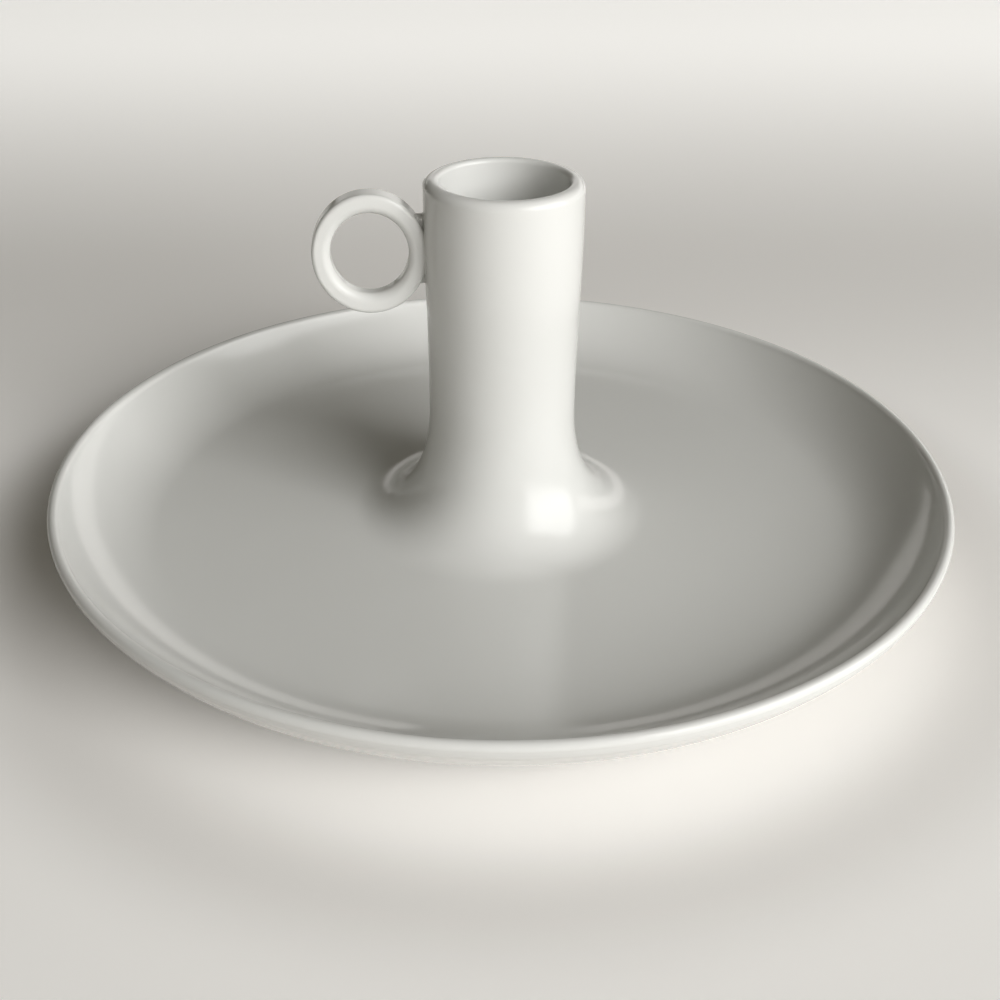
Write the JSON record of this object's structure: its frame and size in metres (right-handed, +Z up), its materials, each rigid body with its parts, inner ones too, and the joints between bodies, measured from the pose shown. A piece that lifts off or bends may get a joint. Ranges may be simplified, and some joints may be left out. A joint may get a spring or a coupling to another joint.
{
  "type": "candle holder",
  "caption": "Glazed porcelain taper candle holder: wide shallow dish, flared hollow column with a candle socket, and a finger ring at its side.",
  "frame": {"origin": "under the middle of the dish, on the surface that the foot ring stands on", "axes": "+Z up along the column's axis; the finger ring points along -X, and its hole runs along Y"},
  "size_m": [0.18, 0.18, 0.077],
  "materials": {
    "white_glaze": "glossy white glaze",
    "bare_slip": "matt unglazed fired clay"
  },
  "bodies": {
    "root": {"dish": "white_glaze", "candle_column": "white_glaze", "socket_floor": "white_glaze", "finger_ring": "white_glaze", "ring_luting": "white_glaze", "column_luting": "bare_slip"}
  },
  "joints": []
}
